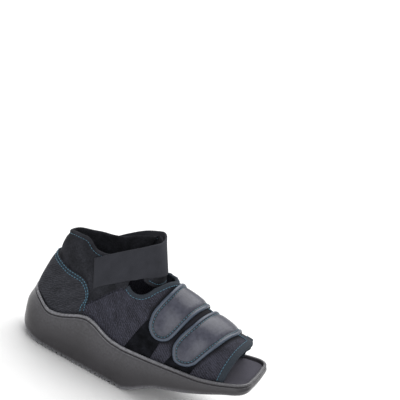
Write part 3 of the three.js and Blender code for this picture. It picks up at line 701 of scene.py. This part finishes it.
def spacer_mesh(name, dark, light, fleck):
    """Spacer mesh cloth of a shade, knitted along the piece's own lengths."""
    material, tree = new_material(name)
    cloth = add(tree, "TexCoord").outputs["UV"]
    drift = add(tree, "TexNoise", {"Vector": cloth, "Scale": 1000 / 16, "Detail": 3.0, "Roughness": 0.6})
    loops = add(tree, "TexWave", {
        "Vector": cloth, "Scale": 100 * math.pi / loop_mm, "Distortion": 5.0, "Detail": 2.0,
        "Detail Scale": 1.5}, bands_direction="DIAGONAL")
    yarn = add(tree, "TexNoise", {"Vector": cloth, "Scale": 1000 / 1.6, "Detail": 2.0, "Roughness": 0.6})
    knit = add(tree, "Math", {0: loops.outputs["Fac"], 1: yarn}, operation="MULTIPLY")
    lit = add(tree, "Math", {0: knit, 1: drift}, operation="ADD")
    lit = add(tree, "MapRange", {"Value": lit, "From Min": 0.38, "From Max": 1.05})
    ground = add(tree, "Mix", {0: lit, 6: dark, 7: light}, data_type="RGBA")
    flecks = add(tree, "MapRange", {"Value": yarn, "From Min": 0.56, "From Max": 0.74})
    face = add(tree, "Mix", {0: flecks, 6: ground, 7: fleck}, data_type="RGBA")
    # Painted shade: near the straps the cloth is mixed towards near-black.
    painted_strap_shade = add(tree, "Attribute", attribute_name="painted_strap_shade").outputs["Fac"]
    colour = add(tree, "Mix", {0: painted_strap_shade, 6: face, 7: mesh_painted_shade}, data_type="RGBA")
    bump = add(tree, "Bump", {"Height": knit, "Strength": 0.22, "Distance": 0.0003})
    shader = add(tree, "BsdfPrincipled", {
        "Base Color": colour, "Roughness": 0.85, "Normal": bump, "Sheen Weight": 0.06,
        "Sheen Roughness": 0.4, "Sheen Tint": paint("#9aa0ad"), "Specular IOR Level": 0.2})
    add(tree, "OutputMaterial", {"Surface": shader})
    return material


counter_mesh = spacer_mesh("stiffened_spacer_mesh", paint("#1d1e22"), paint("#3b3c42"), paint("#464850"))
counter_body = soft_body(*counter_faces, to_edge)
counter = finished("heel_counter_overlay", counter_body, counter_mesh)
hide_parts("heel_counter")
counter_edge = high_edge(counter_faces, range(len(flat_counter)))
seam_depths, crossing_pitch, crossing_thick = (1.4, 4.8), 1.3, 0.8
rows_of_stitches = [counter_edge.at(distance, 8) for distance in seam_depths]
counter_thread = sewn("heel_counter_stitches", rows_of_stitches, pitch=3.4, length=2.6, thick=1.15)
bm = bmesh.new()
runs = [run_of(line) for line, normal in rows_of_stitches]
crossings = int(runs[0][-1] / crossing_pitch)
for k in range(crossings):
    ends = [on_line(share * runs[row][-1], runs[row], rows_of_stitches[row][0])
            for row, share in ((k % 2, k / crossings), (1 - k % 2, (k + 1) / crossings))]
    up = Vector(on_line((k + 0.5) / crossings * runs[0][-1], runs[0], rows_of_stitches[0][1]))
    lay_thread(bm, ends[0], ends[1], up.normalized(), crossing_thick)
crossing_thread = finished("heel_counter_crossing_thread", bm, navy_thread)

# Quarters: two side panels of spacer mesh cloth, lasted into the sole, which wrap over the instep.
# The outer flap lies on the inner one. The throat and toe edges are bound with tape and stitched in blue.
quarter_thick, quarter_start, throat_start, flap_drop, flap_shift = 2.5, 3.28, 4.76, 3.9, 0.2
quarter_columns, quarter_rows = 150, 70
throat_rows = np.array([
    (4.72, 0.463), (4.8, 0.456), (5.04, 0.415), (5.4, 0.374), (5.76, 0.357), (6.06, 0.369), (6.37, 0.43),
    (6.55, 0.489), (6.8, 0.574), (7.01, 0.669), (7.22, 0.767), (7.43, 0.886), (7.6, 0.985), (7.82, 1.08),
    (8.2, 1.115), (9, 1.12), (10.5, 1.12), (10.8, 1.11), (11, 1.08),
])
throat_tape, toe_tape, tape_stand, tape_thick = 4.2, 7.2, 0.55, 0.42

# Knitted binding tape: charcoal, finely ribbed across; the ribs are drawn at 1.2 mm so that they show.
tape_dark, tape_light, tape_rib_mm = paint("#22272e"), paint("#46505a"), 1.2
binding_tape, tree = new_material("knitted_binding_tape")
cloth = add(tree, "TexCoord").outputs["UV"]
ribs = add(tree, "TexWave", {"Vector": cloth, "Scale": 100 * math.pi / tape_rib_mm, "Distortion": 1.0})
fuzz = add(tree, "TexNoise", {"Vector": cloth, "Scale": 1000 / 1.0, "Detail": 3.0})
shade = add(tree, "Math", {0: ribs.outputs["Fac"], 1: fuzz}, operation="MULTIPLY")
colour = add(tree, "Mix", {0: shade, 6: tape_dark, 7: tape_light}, data_type="RGBA")
bump = add(tree, "Bump", {"Height": shade, "Strength": 0.5, "Distance": 0.0003})
shader = add(tree, "BsdfPrincipled", {
    "Base Color": colour, "Roughness": 0.8, "Normal": bump, "Sheen Weight": 0.08,
    "Sheen Tint": paint("#a9b2bd"), "Specular IOR Level": 0.25})
add(tree, "OutputMaterial", {"Surface": shader})


def bind(name, edge, tape_width):
    """Tape folded over a cut edge, with its outer leg, its fold and its inner leg."""
    normal = edge.at(0.5)[1]
    rows = []
    for distance, lift in ((tape_width, 0.12), (tape_width - 0.15, 0.42), (tape_width - 0.8, tape_stand),
                           (tape_width / 2, tape_stand + 0.08), (1.2, tape_stand)):
        line, up = edge.at(distance)
        rows.append(line + up * lift)
    middle = (edge.points + edge.under) / 2
    half = np.linalg.norm(edge.points - edge.under, axis=1)[:, None] / 2
    for turn in (20, 45, 70, 90, 110, 135, 160):
        angle = math.radians(turn)
        rows.append(middle + normal * (half + tape_stand) * math.cos(angle) - edge.way * math.sin(angle))
    inner_stand = tape_stand - 0.2
    for distance, lift in ((1.2, inner_stand), (tape_width - 0.4, inner_stand), (tape_width, 0.12)):
        line, up = edge.at(distance)
        rows.append(line - up * (quarter_thick + lift))
    outer = np.stack(rows, axis=1)
    facing = grid_normals(outer, middle[:, None, :])
    return finished(name, soft_body(outer, outer - facing * tape_thick), binding_tape)


def quarter_waves(points, h, side):
    """Soft waves of a quarter's cloth, away from the sole and the flaps."""
    return 0.35 * ripples(points, 26, 3 + side) * smooth(0.06, 0.2, h) * (1 - smooth(0.55, 0.7, h))


quarter_mesh = spacer_mesh("spacer_mesh", paint("#1b1b20"), paint("#3f3f4a"), paint("#4a4d5b"))
quarters = []
for side, side_name in ((outer_side, "lateral"), (inner_side, "medial")):
    stations = quarter_start + (last_station - quarter_start) * np.linspace(0, 1, quarter_columns + 1)
    shifted = stations - (flap_shift * smooth(6.7, 7.3, stations) if side == inner_side else 0)
    top = np.where(stations < throat_start, table_value(seam_rows, 1, stations) + 0.012,
                   table_value(throat_rows, 1, shifted))
    s = stations[:, None] + np.zeros((1, quarter_rows + 1))
    h = top[:, None] * np.linspace(0, 1, quarter_rows + 1)[None, :]
    under_lap = np.where(s < throat_start, smooth(-0.06, -0.035, h - table_value(seam_rows, 1, s)), 0)
    under_lap *= 1 - smooth(4.6, throat_start, s)
    dip = flap_drop * smooth(0.68, 0.88, h) if side == inner_side else 0 * h
    flat_quarter = upper(side, s, h)
    waves = quarter_waves(flat_quarter, h, side)
    out_lift = waves - dip - 1.3 * under_lap
    in_lift = np.minimum(waves - dip - quarter_thick, out_lift - 1.0)
    faces = [upper(side, s, h, lift) for lift in (out_lift, in_lift)]
    to_edge = edge_distance(flat_quarter, ("end", "high"))
    quarter_body = soft_body(*faces, to_edge)
    quarter = finished(side_name + "_quarter_panel", quarter_body, quarter_mesh)
    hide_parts(side_name + "_quarter")
    quarters.append(quarter)
    first = int(np.argmax(stations > throat_start - 0.02))
    last, high, down = quarter_columns, quarter_rows, range(quarter_rows - 1, -1, -1)
    line = [(i, high) for i in range(first, last + 1)] + [(last, j) for j in down]
    inside = [(i, high - 3) for i in range(first, last - 1)] + [(last - 2, high - 3)] * 2
    inside += [(last - 3, j) for j in down]
    cut = CutEdge(*faces, line, inside)
    toward_toe = smooth(8, 10.8, np.array([stations[i] for i, j in line]))
    tape_width = throat_tape + (toe_tape - throat_tape) * toward_toe
    tape = bind(side_name + "_edge_binding", cut, tape_width)
    line, normal = cut.at(tape_width - 0.5, 6)
    thread = sewn(side_name + "_edge_stitches", [(line + normal * (tape_stand + 0.05), normal)])

# Loop bands: two strips of black brushed loop pile, sewn to the outer quarter where the straps fasten.
# Their lower ends run down behind the rim of the sole.
band_tables = {
    "rear": np.array([
        (0.012, 6.2, 8.0), (0.136, 6.55, 8.08), (0.263, 6.88, 8.13), (0.38, 7.2, 8.22), (0.6, 7.5, 8.4),
    ]),
    "front": np.array([(0.012, 8.53, 9.63), (0.119, 8.65, 9.7), (0.28, 8.82, 9.8), (0.6, 9.1, 10.05)]),
}
band_flats, band_thick = {"rear": (0.034, 0.051), "front": (0.031, 0.046)}, 1.3

# Brushed loop pile: deep black, very matt, with tufts of about 1.4 mm.
loop_pile = brushed_cloth("brushed_loop_pile", paint("#0b0c0e"), paint("#1f2025"), 1.4, 9, 3.0, {
    "Roughness": 0.95, "Specular IOR Level": 0.05})


def strip_grid(rows, along, across):
    """Stations and height shares over a strip, from a table of its height shares and two edges."""
    at = spline(rows * (4, 1, 1), along)
    s = at[:, 1:2] + (at[:, 2:3] - at[:, 1:2]) * across[None, :]
    return s, at[:, :1] / 4 + 0 * s


for name, rows in band_tables.items():
    s, h = strip_grid(rows, np.linspace(0, 1, 61), spread(34, 36))
    flat_band = upper(outer_side, s, h)
    to_edge = edge_distance(flat_band, ("low", "high"))
    waves = quarter_waves(flat_band, h, outer_side)
    tuck = 1 - smooth(0.02, 0.06, h)
    out_lift = waves + 0.1 + band_thick * rolled(to_edge, 1.2) * (1 - 0.55 * tuck)
    faces = [upper(outer_side, s, h, lift) for lift in (out_lift, waves + 0.08)]
    band = finished("loop_band_" + name + "_strip", soft_body(*faces, to_edge), loop_pile)
    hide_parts("loop_band_" + name)

# Straps: two padded straps of coated leather cloth over foam, sewn in at the inner side of the sole.
# They cross the instep and end round on the outer side, with a turned rim and blue stitches inside it.
# Each row is a height share, above 1 on the inner side, and the stations of the strap's rear and front edges.
strap_tables = {
    "rear": np.array([
        (0.213, 7.84, 7.95), (0.217, 7.72, 8.04), (0.231, 7.49, 8.19), (0.268, 7.22, 8.36),
        (0.318, 7.11, 8.445), (0.388, 7.07, 8.515), (0.496, 7.2, 8.595), (0.639, 7.385, 8.69),
        (0.79, 7.535, 8.79), (0.92, 7.63, 8.88), (1, 7.67, 8.925), (1.08, 7.71, 8.95), (1.21, 7.77, 8.98),
        (1.36, 7.84, 8.99), (1.55, 7.91, 8.99), (1.76, 7.96, 9), (1.952, 8, 9),
    ]),
    "front": np.array([
        (0.082, 9.05, 9.13), (0.086, 8.95, 9.22), (0.1, 8.83, 9.4), (0.125, 8.75, 9.53),
        (0.175, 8.66, 9.68), (0.25, 8.59, 9.79), (0.34, 8.62, 9.9), (0.44, 8.7, 10.01), (0.58, 8.835, 10.15),
        (0.71, 8.925, 10.24), (0.87, 9.03, 10.335), (1, 9.12, 10.415), (1.13, 9.2, 10.475),
        (1.29, 9.27, 10.52), (1.45, 9.31, 10.55), (1.65, 9.34, 10.56), (1.85, 9.35, 10.56),
        (1.95, 9.35, 10.56),
    ]),
}
strap_seam, seam_lift, bed_side, bed_top = 4.6, 1.1, 1.9, 0.9
strap_section = np.array([
    (0, 0.35), (0.4, 1.15), (1, 1.75), (1.9, 2.1), (2.9, 2.05), (3.8, 1.55), (strap_seam, seam_lift),
    (5.6, 1.5), (7.4, 2.3), (10, 3.0), (14, 3.5), (19, 3.75), (40, 3.8),
])

# Coated leather cloth: blue grey, satin, with a fine pebble grain, a highlight painted on the rims and shade
# painted navy in the seam's groove.
hide_dark, hide_light, rim_painted_highlight = paint("#323340"), paint("#4a4c59"), paint("#475160")
seam_painted_shade, pebble_mm = paint("#0c151d"), 1.5
coated_leather, tree = new_material("coated_leather_cloth")
place = add(tree, "TexCoord").outputs["Object"]
pebbles = add(tree, "TexVoronoi", {"Vector": place, "Scale": 1000 / pebble_mm}, feature="SMOOTH_F1")
creases = add(tree, "TexNoise", {"Vector": place, "Scale": 1000 / 4, "Detail": 4.0, "Roughness": 0.6})
clouds = add(tree, "TexNoise", {"Vector": place, "Scale": 1000 / 30, "Detail": 2.0})
edge = add(tree, "Attribute", attribute_name="edge").outputs["Fac"]
# Painted highlight: the rolled rim near the edge is painted paler and bluer.
rim = add(tree, "MapRange", {"Value": edge, "From Min": 2.5, "From Max": 3.5, "To Min": 1.0, "To Max": 0.0})
# Painted shade: the groove along the stitches is painted a near-black navy.
from_seam = add(tree, "Math", {0: edge, 1: strap_seam}, operation="SUBTRACT")
from_seam = add(tree, "Math", {0: from_seam}, operation="ABSOLUTE")
seam_shade = add(tree, "MapRange", {
    "Value": from_seam, "From Min": 0.8, "From Max": 1.6, "To Min": 0.9, "To Max": 0.0})
shade = add(tree, "Math", {0: clouds, 1: creases}, operation="MULTIPLY")
shade = add(tree, "MapRange", {"Value": shade, "From Min": 0.12, "From Max": 0.4})
hide = add(tree, "Mix", {0: shade, 6: hide_dark, 7: hide_light}, data_type="RGBA")
with_rim_highlight = add(tree, "Mix", {0: rim, 6: hide, 7: rim_painted_highlight}, data_type="RGBA")
colour = add(tree, "Mix", {0: seam_shade, 6: with_rim_highlight, 7: seam_painted_shade}, data_type="RGBA")
gloss = add(tree, "MapRange", {"Value": creases, "To Min": 0.3, "To Max": 0.4})
grain = add(tree, "Math", {0: pebbles, 1: creases}, operation="ADD")
bump = add(tree, "Bump", {"Height": grain, "Strength": 0.3, "Distance": 0.0003})
shader = add(tree, "BsdfPrincipled", {
    "Base Color": colour, "Roughness": gloss, "Normal": bump, "IOR": 1.5})
add(tree, "OutputMaterial", {"Surface": shader})

strap_beds = []
for name, rows in strap_tables.items():
    along = np.concatenate([np.linspace(0, 0.36, 70)[:-1], np.linspace(0.36, 1, 80)])
    s, h = strip_grid(rows, along, spread(40, 38))
    bed = bed_side + (bed_top - bed_side) * smooth(0.6, 0.95, h)
    flat_strap = upper(outer_side, s, h, bed)
    to_edge = edge_distance(flat_strap, ("start", "low", "high"))
    puff = np.interp(to_edge, strap_section[:, 0], strap_section[:, 1])
    puff += 0.12 * ripples(flat_strap, 14, 5) * smooth(6, 10, to_edge)
    faces = [upper(outer_side, s, h, bed + lift) for lift in (puff, 0.1)]
    strap = finished("strap_" + name + "_pad", soft_body(*faces, to_edge), coated_leather)
    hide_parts("strap_" + name)
    columns, across = s.shape[0] - 1, s.shape[1] - 1
    line = ([(i, 0) for i in range(columns, 0, -1)] + [(0, j) for j in range(across + 1)]
            + [(i, across) for i in range(1, columns + 1)])
    inside = ([(i, 5) for i in range(columns, 0, -1)] + [(5, j) for j in range(across + 1)]
              + [(i, across - 5) for i in range(1, columns + 1)])
    line, normal = CutEdge(flat_strap, upper(outer_side, s, h, 0.1), line, inside).at(strap_seam, 12)
    sewn("strap_" + name + "_stitches", [(line + normal * seam_lift, normal)], length=2.5, thick=1.05)
    strap_beds.append(nearest((flat_strap.reshape(-1, 3) - heel_to_middle) / 1000))

# Painted shade: the quarters are darkened under the straps and for a few millimetres beside them.
strap_shade_near, strap_shade_far, strap_shade_most = 1.8, 5.4, 0.85
for quarter in quarters:
    verts = quarter.data.vertices
    away = np.array([[bed.find(vert.co)[2] * 1000 for bed in strap_beds] for vert in verts])
    painted_strap_shade = strap_shade_most * (1 - np.prod(smooth(strap_shade_near, strap_shade_far, away), axis=1))
    quarter.data.attributes.new("painted_strap_shade", "FLOAT", "POINT").data.foreach_set("value", painted_strap_shade)

# Ankle tab: a short padded tongue of brushed nylon behind the ankle strap, rounded below.
# A row of blue stitches runs inside its lower edge.
wing_rows = np.array([(2.62, 0.852, 3.34, 0.387), (3.12, 0.909, 3.85, 0.463), (3.9, 0.948, 4.5, 0.523),
                      (4.72, 0.953, 5.15, 0.523)])
ankle_front_top, ankle_front_low = np.array([107, 0, 162]), np.array([124.3, 0, 127])
wing_share, turn_share = 0.52, 0.3
tab_rows = np.array([(0.58, 0.98), (0.64, 1.1), (0.715, 1.185), (0.805, 1.265), (0.9, 1.295), (1, 1.29)])
tab_start, tab_top, tab_thick, tab_seam = 0.58, 0.14, 3.0, 3.8


def ankle_on_wing(side, wing, share):
    """Points of the band on a wing of the collar, from its rear end at 0 to the front of the wing at 1."""
    high = np.concatenate([wing_rows[:, :2] * (1, 4), np.zeros((4, 1))], axis=1)
    low = np.concatenate([wing_rows[:, 2:] * (1, 4), np.zeros((4, 1))], axis=1)
    at = spline(high, wing) * (1 - share[..., None]) + spline(low, wing) * share[..., None]
    return wall(side, at[..., 0], at[..., 1] / 4)


def ankle_band(along, share):
    """Points of the band round the ankle: outer wing at along 0, ankle front at 1, inner wing at 2."""
    along, share = np.broadcast_arrays(np.asarray(along, float), np.asarray(share, float))
    side = np.where(along > 1, inner_side, outer_side)
    along = np.where(along > 1, 2 - along, along)
    start = ankle_on_wing(side, np.ones_like(along), share)
    front = ankle_front_top + (ankle_front_low - ankle_front_top) * share[..., None]
    heading = start - ankle_on_wing(side, np.full_like(along, 0.97), share)
    heading = unit(heading) * turn_share * np.linalg.norm(front - start, axis=-1, keepdims=True)
    beside = np.stack([front[..., 0], start[..., 1] / 2, front[..., 2]], axis=-1)
    t = np.clip((along - wing_share) / (1 - wing_share), 0, 1)[..., None]
    turned = (start * (1 - t) ** 3 + (start + heading) * 3 * t * (1 - t) ** 2
              + beside * 3 * t ** 2 * (1 - t) + front * t ** 3)
    on_wing = ankle_on_wing(side, np.clip(along / wing_share, 0, 1), share)
    return np.where((along > wing_share)[..., None], turned, on_wing)


def ankle_sheet(along, share, lift):
    """Points of the ankle band lifted off its surface."""
    step = 0.004
    run = ankle_band(along + step, share) - ankle_band(np.maximum(along - step, 0), share)
    normal = np.cross(run, ankle_band(along, share - step) - ankle_band(along, share + step))
    return ankle_band(along, share) + unit(normal) * np.asarray(lift)[..., None]


along = tab_start + 2 * (1 - tab_start) * spread(70, 80)[:, None]
half_along = np.where(along > 1, 2 - along, along)
share = tab_top + (table_value(tab_rows, 1, half_along) - tab_top) * spread(30, 36)[None, :]
along = along + 0 * share
flat_tab = ankle_sheet(along, share, -tab_thick / 2)
to_edge = edge_distance(flat_tab)
to_low = edge_distance(flat_tab, ("high",))
pad = tab_thick / 2 + 0.5 * smooth(4, 9, to_edge) - 0.6 * np.exp(-((to_low - tab_seam) / 0.8) ** 2)
pad *= rolled(to_edge, 2)
faces = [ankle_sheet(along, share, -tab_thick / 2 + pad), ankle_sheet(along, share, -tab_thick / 2 - pad)]
tab = finished("ankle_tab_pad", soft_body(*faces, to_edge), brushed_nylon)
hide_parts("ankle_tab")
sewn("ankle_tab_stitches", [high_edge(faces, range(9, len(flat_tab) - 9)).at(tab_seam)])

# Ankle strap: one plain band of brushed loop webbing, fastened to both wings and drawn round the ankle front.
# Its edges are heat cut and a little rounded.
strap_out, strap_in = 2.7, 0.5
along = 2 * spread(120, 185)[:, None]
share = spread(40, 38)[None, :] + 0 * along
along = along + 0 * share
flat_ankle = ankle_sheet(along, share, 1.5)
to_edge = edge_distance(flat_ankle)
wave = 0.3 * ripples(flat_ankle, 24, 8) * smooth(2, 10, to_edge)
middle, half = (strap_out + strap_in) / 2, (strap_out - strap_in) / 2
faces = [ankle_sheet(along, share, middle + wave + half * rolled(to_edge, 1.1)),
         ankle_sheet(along, share, middle + wave * 0.5 - half * rolled(to_edge, 1.1))]

# Brushed loop webbing: dark grey, dull, with a close rib along its length, drawn at 1.1 mm so that it shows.
loop_webbing = ribbed_cloth(
    "brushed_loop_webbing", "UV", paint("#232428"), paint("#393a40"), (1.1, 0.9, 16), (1.5, 2.0), 0.65, 0.35,
    {"Roughness": 0.88, "Sheen Weight": 0.06, "Sheen Roughness": 0.45, "Sheen Tint": paint("#a0a4ac"),
     "Specular IOR Level": 0.15})

ankle_strap = finished("ankle_strap_band", soft_body(*faces, to_edge), loop_webbing)
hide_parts("ankle_strap")

# Floor: a wide sheet of matt white studio board, faintly grained, with the shoe standing on its tread.
board_size, board_grain_mm = 12.0, 25
board_dark, board_light = paint("#fafafa"), paint("#ffffff")
bm = bmesh.new()
bmesh.ops.create_grid(bm, x_segments=8, y_segments=8, size=board_size / 2)
mesh = bpy.data.meshes.new("studio_board")
bm.to_mesh(mesh)
bm.free()
board_white, tree = new_material("white_studio_board")
place = add(tree, "TexCoord").outputs["Object"]
grain = add(tree, "TexNoise", {"Vector": place, "Scale": 1000 / board_grain_mm, "Detail": 3.0})
colour = add(tree, "Mix", {0: grain, 6: board_dark, 7: board_light}, data_type="RGBA")
shader = add(tree, "BsdfPrincipled", {"Base Color": colour, "Roughness": 0.9})
add(tree, "OutputMaterial", {"Surface": shader})
mesh.materials.append(board_white)
board = bpy.data.objects.new("studio_board", mesh)
bpy.context.scene.collection.objects.link(board)

# Studio light: a white room, one large soft box above and behind the shoe and a weaker one from the front.
world = bpy.data.worlds.new("white_room")
world.use_nodes = True
room = world.node_tree.nodes["Background"].inputs
room["Color"].default_value, room["Strength"].default_value = (1, 1, 1, 1), 0.48
bpy.context.scene.world = world
shoe_middle = Vector((0, 0, 0.08))
soft_boxes = (("back_box", (-0.1, 0.85, 1.5), 2.0, 32), ("front_box", (0.5, -1.5, 0.75), 1.3, 10))
for name, spot, size, power in soft_boxes:
    light = bpy.data.lights.new(name, "AREA")
    light.size, light.energy = size, power
    made = bpy.data.objects.new(name, light)
    made.location = spot
    made.rotation_euler = (shoe_middle - Vector(spot)).to_track_quat("-Z", "Y").to_euler()
    bpy.context.scene.collection.objects.link(made)
bpy.context.scene.view_settings.view_transform = "Standard"

# Camera: a long lens at the photograph's angle to the shoe, rolled as the shoe was tipped towards its toe.
right, up = Vector((0.8924, 0.2588, 0.3696)), Vector((-0.4414, 0.3304, 0.8343))
toward = Vector((0.0938, -0.9077, 0.4091))
aim, away, frame_width = Vector((-0.0129, 0.0666, 0.1950)), 10.0, 0.432
camera = bpy.data.cameras.new("photo_camera")
camera.sensor_width = 36
camera.lens = camera.sensor_width * away / frame_width
camera_object = bpy.data.objects.new("photo_camera", camera)
camera_object.matrix_world = Matrix((right, up, toward)).transposed().to_4x4()
camera_object.location = aim + toward * away
bpy.context.scene.collection.objects.link(camera_object)
bpy.context.scene.camera = camera_object
